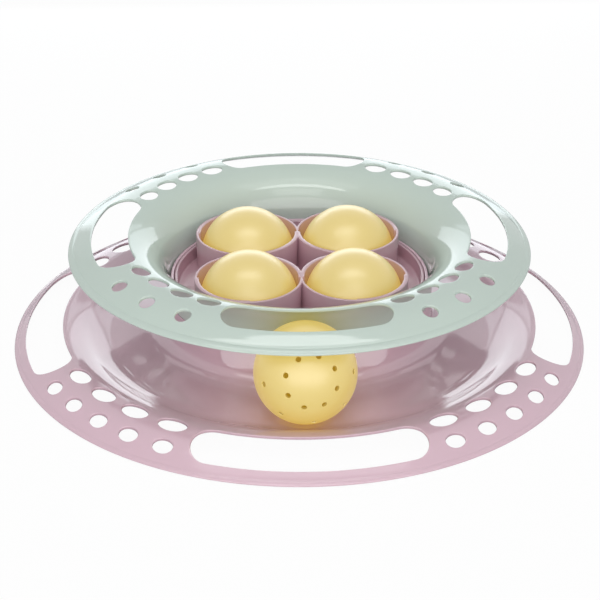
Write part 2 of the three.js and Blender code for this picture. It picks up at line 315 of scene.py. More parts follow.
def moulded(
    name, pale, deep, gloss, gloss_change, ripple_size, ripple, shine=0.5, coat=0, glow=None, hollow=None
):
    """A moulded finish that clouds from a pale to a deep colour and has a fine ripple. It may have a soft
    coat, and a glow that is painted light for light through a shell and bounced light. Hollow is the middle
    of a ball whose painted glow is deeper inside."""
    finish = Finish(bpy.data.materials.new(name))
    place = finish.node("ShaderNodeTexCoord", output="Object")

    def noise(scale, detail):
        return finish.node("ShaderNodeTexNoise", inputs={"Vector": place, "Scale": scale, "Detail": detail})

    clouds = noise(CLOUD_SCALE, 3.0)
    specks = noise(SPECK_SCALE, 2.0)
    skin = noise(ripple_size, 1.0)
    inputs = {
        "Base Color": mixed(finish, clouds * CLOUD_SHARE + specks * (1 - CLOUD_SHARE), pale, deep),
        "Roughness": gloss + gloss_change * (clouds - 0.5),
        "Normal": finish.node(
            "ShaderNodeBump", inputs={"Strength": ripple, "Distance": RIPPLE_DEPTH, "Height": skin}
        ),
        "IOR": PLASTIC_IOR,
        "Specular IOR Level": shine,
        "Coat Weight": coat,
        "Coat Roughness": COAT_ROUGHNESS,
    }
    # Painted light: inside its skin the snack ball gets a deeper glow, on its inner face and hole walls.
    if hollow:
        away = finish.node(
            "ShaderNodeVectorMath", {"operation": "DISTANCE"}, {0: place, 1: hollow}, output="Value"
        )
        glow = mixed(finish, away < BALL_SKIN, glow, INSIDE_PAINTED_LIGHT)
    # Painted light: the emission brightens the ball evenly, standing for light through the shell and
    # bounced light.
    if glow:
        inputs["Emission Color"] = glow
        inputs["Emission Strength"] = 1.0
    return finish.surface(finish.node("ShaderNodeBsdfPrincipled", inputs=inputs))


# The printed values are painted light: emission standing for light through the shell and bounced light.
print("light through a cover ball:", COVER_PAINTED_LIGHT[:3])

# %% The plastics and the rubber
MM = 0.001
SNACK_BEARING = math.radians(-90.5)
snack_spot = Vector((
    TRACK_RADIUS * math.cos(SNACK_BEARING), TRACK_RADIUS * math.sin(SNACK_BEARING), SNACK_BALL_HEIGHT
))
glossy = {"gloss_change": 0.03, "ripple_size": 260.0, "ripple": 0.015}
yellow = {
    "pale": linear(0.60, 0.585, 0.43), "deep": linear(0.585, 0.565, 0.405),
    "gloss": 0.37, "gloss_change": 0.06, "ripple_size": 1400.0, "ripple": 0.04, "shine": 1.0, "coat": 0.8,
}
pink_plastic = moulded(
    "glossy_pink", linear(0.83, 0.708, 0.752), linear(0.815, 0.688, 0.737),
    gloss=0.06, shine=0.9, **glossy,
)
tray_plastic = moulded(
    "glossy_deep_pink", linear(0.80, 0.665, 0.70), linear(0.785, 0.645, 0.685),
    gloss=0.07, shine=0.9, **glossy,
)
mint_plastic = moulded(
    "glossy_mint", linear(0.765, 0.825, 0.785), linear(0.75, 0.81, 0.77),
    gloss=0.06, shine=0.6, **glossy,
)
yellow_plastic = moulded("satin_yellow", glow=COVER_PAINTED_LIGHT, **yellow)
snack_plastic = moulded("satin_yellow_hollow", glow=SNACK_PAINTED_LIGHT, hollow=snack_spot * MM, **yellow)
grey_rubber = moulded(
    "matt_grey", linear(0.57, 0.56, 0.57), linear(0.5, 0.49, 0.5),
    gloss=0.82, gloss_change=0.12, ripple_size=1900.0, ripple=0.4,
)
print("finishes:", [material.name for material in bpy.data.materials])

# %% [markdown]
# ## Finishing a piece
# Every piece ends the same way: the mesh is scaled to metres, shaded smooth with its sharp edges kept,
# given its finish and tied to its body, and the part's nodes that it stands for are hidden. One helper
# keeps these steps alike.

# %% The last steps of every piece
SHARP_ANGLE = math.radians(38)


def as_mesh(mesh_data, name):
    mesh = bpy.data.meshes.new(name)
    mesh_data.to_mesh(mesh)
    mesh_data.free()
    return mesh


def placed(name, data):
    """A new object in the scene, for a mesh, a lamp or a camera."""
    made = bpy.data.objects.new(name, data)
    scene.collection.objects.link(made)
    return made


def finish_piece(mesh_data, name, body, nodes, material):
    bmesh.ops.scale(mesh_data, vec=(MM, MM, MM), verts=mesh_data.verts)
    mesh = as_mesh(mesh_data, name)
    mesh.shade_smooth()
    mesh.set_sharp_from_angle(angle=SHARP_ANGLE)
    mesh.materials.append(material)
    piece = placed(name, mesh)
    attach(piece, body)
    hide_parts(*nodes)
    print(name, "rides on", body, "with", len(mesh.polygons), "faces")
    return piece


print("edges sharper than", round(math.degrees(SHARP_ANGLE)), "degrees stay sharp")

# %% [markdown]
# ## Openings in a brim
# Each brim has four long slots and four groups of oval holes. A boolean would cut them, but it leaves
# long thin faces that show in a glossy surface. Here a window of faces is taken out of the top and of the
# underside, its edge is grown inwards in rings until it has the shape of the hole, and each ring is laid
# on the brim's own curve. The upper edge then goes down to meet the lower one, which makes the wall, and
# a bevel rounds both edges.

# %% Shapes of the openings
COLUMN_STEP = 360 / COLUMNS


def plan_radius(point):
    return math.hypot(point.x, point.y)


def oval_hole(place, bearing, half_length, half_width):
    """A rule that moves a point to the edge of an oval hole, or to a line that far outside it."""
    turned = turned_about_z(math.radians(bearing))
    centre = Vector((place, 0, 0))

    def edge(point, spare):
        away = turned.inverted() @ Vector((point.x, point.y, 0)) - centre
        angle = math.atan2(away.y / half_length, away.x / half_width)
        across = (half_width + spare) * math.cos(angle)
        return turned @ (centre + Vector((across, (half_length + spare) * math.sin(angle), 0)))

    return edge


def long_slot(inner, outer, bearing, spread):
    """The same kind of rule for a slot that follows the brim and has round ends."""
    middle = (inner + outer) / 2
    end_radius = (outer - inner) / 2
    end_angle = math.radians(spread / 2) - math.asin(end_radius / middle)
    turned = turned_about_z(math.radians(bearing))

    def edge(point, spare):
        flat = turned.inverted() @ Vector((point.x, point.y, 0))
        held = max(-end_angle, min(end_angle, math.atan2(flat.y, flat.x)))
        spine = Vector((middle * math.cos(held), middle * math.sin(held), 0))
        return turned @ (spine + (flat - spine).normalized() * (end_radius + spare))

    return edge


print("one column covers", COLUMN_STEP, "degrees")

# %% A drill for brims
EDGE_ROUNDING = 0.36
EDGE_SEGMENTS = 3
EDGE_SPARE = EDGE_ROUNDING + 0.3
RINGS = ((0, 0.35), (EDGE_SPARE, 0.65), (EDGE_SPARE, 1), (0, 1))
STEEP = 0.3


def grown_border(grown):
    return [element for element in grown if isinstance(element, bmesh.types.BMEdge) and element.is_boundary]


def patch_border(patch):
    """The edges round a patch of faces."""
    return [e for face in patch for e in face.edges if sum(f in patch for f in e.link_faces) == 1]


def brim_cells(dish, inner, outer):
    """The faces of a brim, sorted by the column that they lie in."""
    cells = {column: [] for column in range(COLUMNS)}
    for face in dish.faces:
        middle = face.calc_center_median()
        radius = plan_radius(middle)
        if inner < radius < outer and abs(face.normal.z) > STEEP:
            column = int(math.degrees(math.atan2(middle.y, middle.x)) // COLUMN_STEP) % COLUMNS
            cells[column].append((radius, face))
    return cells


def drill(dish, cells, holes, top, under):
    """Makes a group of openings that don't touch. Each has a rule and a window: its inner and outer radius,
    and its first and last degree."""
    mark = dish.verts.layers.int["opening"]
    patch = {}
    for number, ((inner, outer, first, last), _) in enumerate(holes, 1):
        for column in range(round(first / COLUMN_STEP), round(last / COLUMN_STEP)):
            for radius, face in cells[column % COLUMNS]:
                if inner < radius < outer:
                    patch[face] = number
    border = patch_border(patch)
    for face, number in patch.items():
        for vert in face.verts:
            vert[mark] = number
    bmesh.ops.delete(dish, geom=list(patch), context="FACES")

    def on_top(vert):
        radius = plan_radius(vert.co)
        return vert.co.z > (top(radius) + under(radius)) / 2

    for spare, share in RINGS:
        grown = bmesh.ops.extrude_edge_only(dish, edges=border)["geom"]
        for vert in grown_verts(grown):
            height = top if on_top(vert) else under
            rule = holes[vert[mark] - 1][1]
            moved = Vector((vert.co.x, vert.co.y, 0)).lerp(rule(vert.co, spare), share)
            vert.co = (moved.x, moved.y, height(plan_radius(moved)))
        border = grown_border(grown)
    upper_edges = [e for e in border if on_top(e.verts[0])]
    wall = bmesh.ops.extrude_edge_only(dish, edges=upper_edges)["geom"]
    for vert in grown_verts(wall):
        vert.co.z = under(plan_radius(vert.co))


print("edges of the openings are rounded by", EDGE_ROUNDING, "mm")

# %% All the openings of one brim
SLOT_SPREAD = 48
SLOT_WINDOW = 25
OPENING_SEAM = 0.005


def open_edges(mesh_data):
    return sum(not e.is_manifold for e in mesh_data.edges)


def open_brim(dish, brim):
    """Makes the four slots and, half-way between them, the four groups of holes of one brim."""
    mark = dish.verts.layers.int.new("opening")
    cells = brim_cells(dish, *brim["cells"])
    quarters = range(0, 360, 90)
    slots = []
    for quarter in quarters:
        window = (*brim["slot_window"], quarter - SLOT_WINDOW, quarter + SLOT_WINDOW)
        slots.append((window, long_slot(*brim["slot"], quarter, SLOT_SPREAD)))
    groups = [slots]
    for row in brim["rows"]:
        for angles in (row["angles"][0::2], row["angles"][1::2]):
            holes = []
            for bearing in (quarter + 45 + angle for quarter in quarters for angle in angles):
                window = (*row["window"], bearing - row["half"], bearing + row["half"])
                rule = oval_hole(row["place"], bearing, row["half_length"], row["half_width"])
                holes.append((window, rule))
            groups.append(holes)
    for group in groups:
        drill(dish, cells, group, brim["top"], brim["under"])
    bmesh.ops.remove_doubles(dish, verts=[v for v in dish.verts if v[mark]], dist=OPENING_SEAM)
    bmesh.ops.recalc_face_normals(dish, faces=dish.faces)
    dish.normal_update()
    edges = [
        e for e in dish.edges
        if e.verts[0][mark] and e.verts[1][mark] and sum(abs(f.normal.z) < STEEP for f in e.link_faces) == 1
    ]
    bmesh.ops.bevel(
        dish, geom=edges, offset=EDGE_ROUNDING, segments=EDGE_SEGMENTS, profile=0.5,
        affect="EDGES", material=-1, clamp_overlap=True,
    )
    bmesh.ops.recalc_face_normals(dish, faces=dish.faces)
    dish.verts.layers.int.remove(mark)
    print("openings:", sum(len(group) for group in groups), "open edges:", open_edges(dish))


print("a slot spans", SLOT_SPREAD, "degrees")

# %% [markdown]
# ## Brims and lips
# Both dishes have the same kind of brim: it bends over a crest and runs on as a straight skirt. The rim
# ends in a thin lip with a fine crease inside it. A groove could be cut afterwards, but a few points in
# the section give it all the way round.

# %% The curve of a brim, and its lip
CREASE = ((-0.4, 0), (-0.05, -0.06), (0.2, -0.12), (0.45, -0.06), (0.8, 0.12))
LIP_SHOULDER = 0.8
LIP_RISE = 0.14


def brim_bend(width, drop, slope):
    """The radius of the bend that leads from a brim's crest to its straight skirt."""
    return (width * math.tan(slope) - drop) / (1 / math.cos(slope) - 1)


def brim_drop(reach, bend, slope, wall):
    """How far a brim lies below its crest at some reach outside it, on the top or wall below it."""
    held = min(reach, (bend - wall) * math.sin(slope))
    return bend - math.sqrt((bend - wall) ** 2 - held**2) + (reach - held) * math.tan(slope)


def lip(pen, crease, rim, rim_foot, top):
    """Draws a rim: a fine crease, then a lip that stands a little proud and has a rounded edge."""
    for reach, rise in CREASE:
        pen.line(crease + reach, top(crease + reach) + rise)
    pen.line(rim - LIP_SHOULDER, top(rim - LIP_SHOULDER) + LIP_RISE)
    pen.line(rim, top(rim), rounding=0.35).line(rim, rim_foot, rounding=0.2)
    return pen


print("points of a crease:", len(CREASE))

# %% [markdown]
# ## The base dish
# The base is one pink moulding: a hub in the middle, a round channel that the ball runs in, and an arched
# brim that reaches down to the floor. Its section is one closed line, so the lathe makes it in one go.
# Four small keys on the hub's shoulder are extruded from the shoulder's own faces.

# %% The base dish's curves
BASE_RIM_FOOT = 0.6
BASE_RIM_EDGE = 0.6
BASE_BRIM_SLOPE = math.radians(33)
LEAN = 2 * math.atan(SLOPE_RISE / SLOPE_RUN)
CHANNEL_BEND = SLOPE_RUN / math.sin(LEAN) / 2
BASE_BEND = brim_bend(BASE_BRIM, BASE_CREST_HEIGHT - BASE_RIM_FOOT - BASE_RIM_EDGE, BASE_BRIM_SLOPE)


def base_height(radius, wall):
    reach = radius - BASE_CREST
    if reach < 0:
        return BASE_CREST_HEIGHT - brim_drop(-reach, CHANNEL_BEND, LEAN, wall)
    return BASE_CREST_HEIGHT - brim_drop(reach, BASE_BEND, BASE_BRIM_SLOPE, wall)


def base_top(radius):
    return base_height(radius, 0)


def base_under(radius):
    return base_height(radius, DISH_WALL)


print("bend of the channel:", round(CHANNEL_BEND, 1), "mm, of the base's crest:", round(BASE_BEND, 1), "mm")

# %% The base dish's section
HOLES_INNER = 97.0
HOLES_MIDDLE = 107.6
HOLES_OUTER = 117.0
BASE_LIP = 2.0
BASE_FOOT_REACH = 18.3
BASE_UNDERSIDE = CHANNEL_FLOOR - DISH_WALL
HUB_CHAMFER = 1
HUB_FOOT = 8
HUB_FOOT_HEIGHT = CHANNEL_FLOOR + HUB_FOOT
CHANNEL_ROW = 66
UNDERSIDE_ROW = 40
base_rows = spaced(HOLES_INNER, BASE_CREST, 4) + spaced(BASE_CREST, HOLES_MIDDLE, 7)
base_rows += spaced(HOLES_MIDDLE, HOLES_OUTER, 8)
slope_turn = math.degrees(LEAN)
hole_turn = math.degrees(math.asin((BASE_CREST - HOLES_INNER) / CHANNEL_BEND))
under_turn = math.degrees(math.asin((BASE_CREST - HOLES_INNER) / (CHANNEL_BEND - DISH_WALL)))
pen = Pen(0, CHANNEL_FLOOR)
pen.line(HUB_BORE - HUB_CHAMFER, CHANNEL_FLOOR).line(HUB_BORE, CHANNEL_FLOOR + HUB_CHAMFER)
pen.line(HUB_BORE, HUB_TOP, rounding=0.4).line(HUB_RING, HUB_TOP, rounding=0.4)
pen.line(HUB_RING, SHOULDER).line(HUB_OUTER, SHOULDER, rounding=0.5)
pen.line(HUB_OUTER, HUB_FOOT_HEIGHT).arc(HUB_OUTER + HUB_FOOT, HUB_FOOT_HEIGHT, -90, steps=10)
pen.line(CHANNEL_ROW, CHANNEL_FLOOR).line(CHANNEL_EDGE, CHANNEL_FLOOR)
pen.arc(CHANNEL_EDGE, CHANNEL_FLOOR + CHANNEL_BEND, -slope_turn, steps=12)
pen.arc(BASE_CREST, BASE_CREST_HEIGHT - CHANNEL_BEND, slope_turn - hole_turn, steps=9)
pen.along(base_rows, base_top)
lip(pen, BASE_RIM - BASE_LIP, BASE_RIM, BASE_RIM_FOOT, base_top)
pen.line(BASE_CREST + BASE_FOOT_REACH, BASE_RIM_FOOT)
pen.along(base_rows[::-1], base_under).line(HOLES_INNER, base_under(HOLES_INNER))
pen.arc(BASE_CREST, BASE_CREST_HEIGHT - CHANNEL_BEND, under_turn - slope_turn, steps=4)
pen.arc(CHANNEL_EDGE, CHANNEL_FLOOR + CHANNEL_BEND, slope_turn, steps=4)
pen.line(UNDERSIDE_ROW, BASE_UNDERSIDE).line(0, BASE_UNDERSIDE)
base = turn_on_lathe(pen.close(), COLUMNS)
print("base section turned:", len(base.verts), "vertices")

# %% The base dish's openings
open_brim(base, {
    "cells": (HOLES_INNER, HOLES_OUTER),
    "top": base_top,
    "under": base_under,
    "slot": (BASE_CREST - 1, BASE_CREST + 14.7),
    "slot_window": (HOLES_INNER, HOLES_OUTER),
    "rows": [
        {
            "window": (HOLES_INNER, HOLES_MIDDLE), "place": BASE_CREST + 1.6,
            "half_length": 6.1, "half_width": 3.6, "angles": (-15, -5, 5, 15), "half": 5,
        },
        {
            "window": (HOLES_MIDDLE, HOLES_OUTER), "place": BASE_CREST + 11.95,
            "half_length": 4.2, "half_width": 2.75, "angles": (-16, -8, 0, 8, 16), "half": 4,
        },
    ],
})

# %% The base dish's keys
KEY_HEIGHT = 3.4
KEY_HALF = 2
HAIR = 0.01
LEVEL = 0.9


def off_quarter(point):
    """How many degrees a point lies from the nearest of the quarter turns."""
    bearing = math.degrees(math.atan2(point.y, point.x)) % 90
    return min(bearing, 90 - bearing)


shoulder_faces = []
for face in base.faces:
    middle = face.calc_center_median()
    on_shoulder = abs(middle.z - SHOULDER) < HAIR and HUB_RING < plan_radius(middle) < HUB_OUTER
    if on_shoulder and face.normal.z > LEVEL and off_quarter(middle) < KEY_HALF:
        shoulder_faces.append(face)
raised = bmesh.ops.extrude_face_region(base, geom=shoulder_faces)["geom"]
bmesh.ops.translate(base, verts=grown_verts(raised), vec=(0, 0, KEY_HEIGHT))
bmesh.ops.delete(base, geom=[f for f in shoulder_faces if f.is_valid], context="FACES_ONLY")
bmesh.ops.recalc_face_normals(base, faces=base.faces)
finish_piece(base, "pink_base_dish", "base", ["base_dish", "hub"], pink_plastic)

# %% [markdown]
# ## The upper dish
# The mint dish is a trumpet: a collar round the hub ring opens into a bowl, turns over a crest and falls
# to a brim of the same pattern as the base's. The bowl is a quarter of an ellipse, so its points come
# from the ellipse's own height. The collar has four notches that sit over the base's keys.

# %% The upper dish's curves
UPPER_DROP = 6.85
UPPER_RIM_FOOT = UPPER_CREST_HEIGHT - UPPER_DROP
UPPER_RIM_EDGE = 0.65
UPPER_BRIM_SLOPE = math.radians(25.5)
UPPER_BEND = brim_bend(UPPER_BRIM, UPPER_DROP - UPPER_RIM_EDGE, UPPER_BRIM_SLOPE)
BOWL_RUN = TRACK_RADIUS - COLLAR_BORE
BOWL_RISE = UPPER_CREST_HEIGHT - BOWL_FOOT


def upper_height(radius, wall, collar_wall):
    """The height of the bowl and brim at a radius, on the top or below the walls."""
    reach = radius - TRACK_RADIUS
    if reach > 0:
        return UPPER_CREST_HEIGHT - brim_drop(reach, UPPER_BEND, UPPER_BRIM_SLOPE, wall)
    along = reach / (BOWL_RUN - collar_wall)
    return BOWL_FOOT + (BOWL_RISE - wall) * math.sqrt(max(0, 1 - along**2))


def upper_top(radius):
    return upper_height(radius, 0, 0)


def upper_under(radius):
    return upper_height(radius, DISH_WALL, COLLAR_WALL)


def bowl_radii(run, first, last, steps):
    """Radii on the bowl's ellipse between two angles, close together where it is steep."""
    return [TRACK_RADIUS - run * math.cos(math.radians(a)) for a in [first] + spaced(first, last, steps)]


print("bowl:", round(BOWL_RUN, 1), "mm wide and", round(BOWL_RISE, 1), "mm high")

# %% The upper dish's section
UPPER_HOLES_INNER = 68.4
UPPER_HOLES_MIDDLE = 79.4
UPPER_SLOT_OUTER = 87.6
UPPER_HOLES_OUTER = 90.4
UPPER_LIP = 2.8
UPPER_FOOT_REACH = 18.0
NOTCH_TOP = COLLAR_FOOT + KEY_HEIGHT
BOWL_STEPS = 20
steep_top = math.degrees(math.acos((TRACK_RADIUS - UPPER_HOLES_INNER) / BOWL_RUN))
steep_under = math.degrees(math.acos((TRACK_RADIUS - UPPER_HOLES_INNER) / (BOWL_RUN - COLLAR_WALL)))
upper_rows = spaced(UPPER_HOLES_INNER, TRACK_RADIUS, 8) + spaced(TRACK_RADIUS, UPPER_HOLES_MIDDLE, 3)
upper_rows += spaced(UPPER_HOLES_MIDDLE, UPPER_SLOT_OUTER, 7)
upper_rows += spaced(UPPER_SLOT_OUTER, UPPER_HOLES_OUTER, 2)
pen = Pen(COLLAR_BORE, COLLAR_FOOT)
pen.line(COLLAR_BORE, NOTCH_TOP)
pen.along(bowl_radii(BOWL_RUN, 0, steep_top, BOWL_STEPS), upper_top)
pen.along(upper_rows, upper_top)
lip(pen, UPPER_RIM - UPPER_LIP, UPPER_RIM, UPPER_RIM_FOOT, upper_top)
pen.line(TRACK_RADIUS + UPPER_FOOT_REACH, UPPER_RIM_FOOT)
pen.along(upper_rows[::-1], upper_under)
pen.along(bowl_radii(BOWL_RUN - COLLAR_WALL, steep_under, 0, BOWL_STEPS), upper_under)
pen.line(HUB_OUTER, NOTCH_TOP).line(HUB_OUTER, COLLAR_FOOT, rounding=0.3)
upper = turn_on_lathe(pen.close(), COLUMNS)
print("upper section turned:", len(upper.verts), "vertices")

# %% The upper dish's openings
open_brim(upper, {
    "cells": (UPPER_HOLES_INNER, UPPER_HOLES_OUTER),
    "top": upper_top,
    "under": upper_under,
    "slot": (TRACK_RADIUS - 5.4, TRACK_RADIUS + 9.7),
    "slot_window": (UPPER_HOLES_INNER, UPPER_SLOT_OUTER),
    "rows": [
        {
            "window": (UPPER_HOLES_INNER, UPPER_HOLES_MIDDLE), "place": TRACK_RADIUS - 2.6,
            "half_length": 4.95, "half_width": 3.35, "angles": (-15, -5, 5, 15), "half": 5,
        },
        {
            "window": (UPPER_HOLES_MIDDLE, UPPER_HOLES_OUTER), "place": TRACK_RADIUS + 9.2,
            "half_length": 3.2, "half_width": 3.0, "angles": (-12, 0, 12), "half": 5,
        },
    ],
})

# %% The notches in the collar
NOTCH_HALF = 3
notch_faces = []
for face in upper.faces:
    middle = face.calc_center_median()
    if middle.z < NOTCH_TOP and off_quarter(middle) < NOTCH_HALF:
        notch_faces.append(face)
bmesh.ops.delete(upper, geom=notch_faces, context="FACES")
collar_middle = (COLLAR_BORE + HUB_OUTER) / 2


def inner_top(vert):
    return vert.co.z > NOTCH_TOP - HAIR and plan_radius(vert.co) < collar_middle


inner_tops = [e for e in upper.edges if e.is_boundary and all(inner_top(v) for v in e.verts)]
for vert in grown_verts(bmesh.ops.extrude_edge_only(upper, edges=inner_tops)["geom"]):
    vert.co.xy *= HUB_OUTER / plan_radius(vert.co)
bmesh.ops.remove_doubles(upper, verts=[v for v in upper.verts if v.co.z < NOTCH_TOP + HAIR], dist=SEAM)
bmesh.ops.holes_fill(upper, edges=[e for e in upper.edges if e.is_boundary], sides=0)
bmesh.ops.recalc_face_normals(upper, faces=upper.faces)
print("notches cut, open edges:", open_edges(upper))
finish_piece(upper, "mint_upper_dish", "upper_dish", ["upper_dish"], mint_plastic)

# %% [markdown]
# ## The treat tray
# The tray is one pink moulding with a low ring wall, a floor and four cups that run into each other. One
# cup is turned on the lathe, its guides are pushed in, and two planes trim it where its neighbours begin.
# Mirroring it twice gives all four cups as one clean shell. The ring and floor are a second turned shell,
# joined to the cups by a boolean, since the cups cross the floor and the ring along curves that no single
# operator gives.

# %% One cup
CUP_COLUMNS = 240
GUIDE_HALF = 45
GUIDE_REACH = 0.5
NEAR = 0.1
CUP_INSIDE_ROW = 30
CUP_OUTSIDE_ROW = 27
CUP_FOOT = ((0, 1.4), (0.12, 0.8), (0.45, 0.3), (1.0, 0.05), (1.5, -0.1), (1.5, -0.8), (0, -0.8))
well_outer = WELL_RADIUS + WELL_WALL
pen = Pen(0, WELL_FOOT)
pen.line(0, WELL_FLOOR).line(WELL_RADIUS, WELL_FLOOR).line(WELL_RADIUS, LEDGE).line(CUP_BORE, LEDGE)
pen.line(CUP_BORE, CUP_INSIDE_ROW).line(CUP_BORE, CUP_RIM, rounding=0.35)
pen.line(CUP_OUTER, CUP_RIM, rounding=0.35)
pen.line(CUP_OUTER, CUP_OUTSIDE_ROW)
for reach, rise in CUP_FOOT:
    pen.line(CUP_OUTER + reach, TRAY_FLOOR + rise)
pen.line(CUP_OUTER, LEDGE - LEDGE_WALL).line(well_outer, LEDGE - LEDGE_WALL).line(well_outer, WELL_FOOT)
cups = turn_on_lathe(pen.close(), CUP_COLUMNS)
for vert in cups.verts:
    radius = plan_radius(vert.co)
    bearing = abs(math.degrees(math.atan2(vert.co.y, vert.co.x)))
    in_bore = CUP_BORE - NEAR < radius < CUP_BORE + GUIDE_REACH and vert.co.z > LEDGE - NEAR
    if in_bore and min(bearing, 180 - bearing) < GUIDE_HALF + NEAR:
        vert.co.xy *= (radius - CUP_GUIDE) / radius
print("one cup:", len(cups.faces), "faces")

# %% Four cups from one
CUP_SEAM = 0.002
CUP_LIMIT = TRAY_OUTER - 0.12


def corner_spot(place, corner, height):
    """A point on one of the four corners, half-way between the quarter turns."""
    angle = math.radians(45 + 90 * corner)
    return Vector((place * math.cos(angle), place * math.sin(angle), height))


bmesh.ops.rotate(cups, cent=(0, 0, 0), matrix=turned_about_z(math.radians(45)), verts=cups.verts)
bmesh.ops.translate(cups, vec=corner_spot(CUP_PLACE, 0, 0), verts=cups.verts)
for side in ((-1, 0, 0), (0, -1, 0)):
    bmesh.ops.bisect_plane(cups, geom=everything(cups), plane_co=(0, 0, 0), plane_no=side, clear_outer=True)
for vert in cups.verts:
    radius = plan_radius(vert.co)
    if radius > CUP_LIMIT:
        vert.co.xy *= CUP_LIMIT / radius
for axis in ("X", "Y"):
    bmesh.ops.mirror(cups, geom=everything(cups), axis=axis, merge_dist=CUP_SEAM)
bmesh.ops.remove_doubles(cups, verts=cups.verts, dist=CUP_SEAM)
bmesh.ops.recalc_face_normals(cups, faces=cups.faces)
print("cups:", len(cups.faces), "faces,", open_edges(cups), "open edges")

# %% The tray's ring and floor
TRAY_WALL = 1.3
TRAY_FLOOR_WALL = 1.6
TRAY_FILLET = 0.8
tray_bore = TRAY_OUTER - TRAY_WALL
tray_underside = TRAY_FLOOR - TRAY_FLOOR_WALL
pen = Pen(0, tray_underside)
pen.line(0, TRAY_FLOOR).line(tray_bore - TRAY_FILLET, TRAY_FLOOR)
pen.arc(tray_bore - TRAY_FILLET, TRAY_FLOOR + TRAY_FILLET, -90, steps=5)
pen.line(tray_bore, HUB_TOP, rounding=0.4).line(TRAY_OUTER, HUB_TOP, rounding=0.4)
pen.line(TRAY_OUTER, tray_underside, rounding=0.3)
plate = placed("tray_plate", as_mesh(turn_on_lathe(pen.close(), COLUMNS), "tray_plate"))
print("tray plate:", len(plate.data.polygons), "faces")

# %% The join of the tray
CORE_RADIUS = CUP_OUTER - 0.75
CORE_HEIGHT = 30


def joined(first, second, operation):
    """The first object after a boolean with the second, which is removed."""
    modifier = first.modifiers.new("join", "BOOLEAN")
    modifier.operation = operation
    modifier.solver = "EXACT"
    modifier.object = second
    graph = bpy.context.evaluated_depsgraph_get()
    mesh = bpy.data.meshes.new_from_object(first.evaluated_get(graph))
    first.modifiers.clear()
    first.data = mesh
    bpy.data.objects.remove(second)
    return first


cores = bmesh.new()
for corner in range(4):
    bmesh.ops.create_cone(
        cores, cap_ends=True, segments=CUP_COLUMNS // 2, radius1=CORE_RADIUS, radius2=CORE_RADIUS,
        depth=CORE_HEIGHT, matrix=Matrix.Translation(corner_spot(CUP_PLACE, corner, TRAY_FLOOR)),
    )
plate = joined(plate, placed("tray_cores", as_mesh(cores, "tray_cores")), "DIFFERENCE")
plate = joined(plate, placed("tray_cups", as_mesh(cups, "tray_cups")), "UNION")
tray = bmesh.new()
tray.from_mesh(plate.data)
bpy.data.objects.remove(plate)
bmesh.ops.remove_doubles(tray, verts=tray.verts, dist=SAME_POINT)
bmesh.ops.dissolve_degenerate(tray, dist=SAME_POINT, edges=tray.edges)
print("tray:", len(tray.faces), "faces,", open_edges(tray), "open edges")
finish_piece(tray, "pink_treat_tray", "treat_tray", ["treat_tray"], tray_plastic)

# %% [markdown]
# ## The cover balls
# Each smooth ball is two thin half shells with a lap joint, turned from one small section each. A solid
# sphere would look the same from outside, but a shell is what the mould gives, and the seam stays as a
# fine line.

# %% Half shells
LAP = 1.6
LAP_GAP = 0.4
LAP_ROUNDING = 0.15
SEAM_ROUNDING = 0.12
SEAM_TURN = 1.5
INNER_RADIUS = BALL_RADIUS - BALL_WALL
LIP_OUTER = BALL_RADIUS - BALL_WALL / 2 - LAP_GAP / 2
LAP_INNER = LIP_OUTER + LAP_GAP


def on_arc(radius, angle):
    return radius * math.cos(math.radians(angle)), radius * math.sin(math.radians(angle))


def lower_half(columns, rings, inner_rings):
    pen = Pen(0, -INNER_RADIUS)
    pen.arc(0, 0, -90, inner_rings)
    pen.line(INNER_RADIUS, LAP, LAP_ROUNDING).line(LIP_OUTER, LAP, LAP_ROUNDING).line(LIP_OUTER, 0)
    pen.line(BALL_RADIUS, 0, SEAM_ROUNDING).line(*on_arc(BALL_RADIUS, -SEAM_TURN))
    pen.arc(0, 0, 90 - SEAM_TURN, rings)
    return turn_on_lathe(pen.close(segments=2), columns)


def upper_half(columns, rings, inner_rings):
    foot = math.degrees(math.asin(LAP_GAP / BALL_RADIUS))
    roof = math.degrees(math.asin((LAP + LAP_GAP) / INNER_RADIUS))
    pen = Pen(0, BALL_RADIUS)
    pen.arc(0, 0, 90 - SEAM_TURN - foot, rings)
    pen.line(*on_arc(BALL_RADIUS, foot), SEAM_ROUNDING)
    pen.line(LAP_INNER, LAP_GAP).line(LAP_INNER, LAP + LAP_GAP, LAP_ROUNDING)
    pen.line(*on_arc(INNER_RADIUS, roof)).arc(0, 0, roof - 90, inner_rings)
    return turn_on_lathe(pen.close(segments=2), columns)


print("half shells:", BALL_WALL, "mm thick, lap", LAP, "mm high")

# %% The four cover balls
BALL_COLUMNS = 128
BALL_RINGS = 40
BALL_INNER_RINGS = 20
for corner in range(4):
    body = f"cover_ball_{corner + 1}"
    for half, maker in (("lower", lower_half), ("upper", upper_half)):
        shell = maker(BALL_COLUMNS, BALL_RINGS, BALL_INNER_RINGS)
        bmesh.ops.translate(shell, vec=corner_spot(CUP_PLACE, corner, COVER_BALL_HEIGHT), verts=shell.verts)
        node = f"{body}_{half}"
        finish_piece(shell, "yellow_" + node, body, [node], yellow_plastic)

# %% [markdown]
# ## The snack ball
# The ball in the channel has small round holes for treats, in rows round a blank pole. Its two halves are
# turned like the cover balls, with a whole number of columns between the holes, and each hole is grown
# from a small window of faces on the outer and inner skin, as in the brims.

# %% Holes in a half shell
SNACK_COLUMNS = 240
SNACK_STEP = 360 / SNACK_COLUMNS
SNACK_HOLES = 8
SNACK_HOLE_RADIUS = 1.06
SNACK_EDGE = 0.22
SNACK_SPARE = SNACK_EDGE + 0.12
SNACK_WINDOW = 4.4
SKIN_START = 5
SNACK_ROWS = (
    {"polar": 30.5, "phase": 27.0, "half": 9.0},
    {"polar": 60.0, "phase": 4.5, "half": 4.5},
)


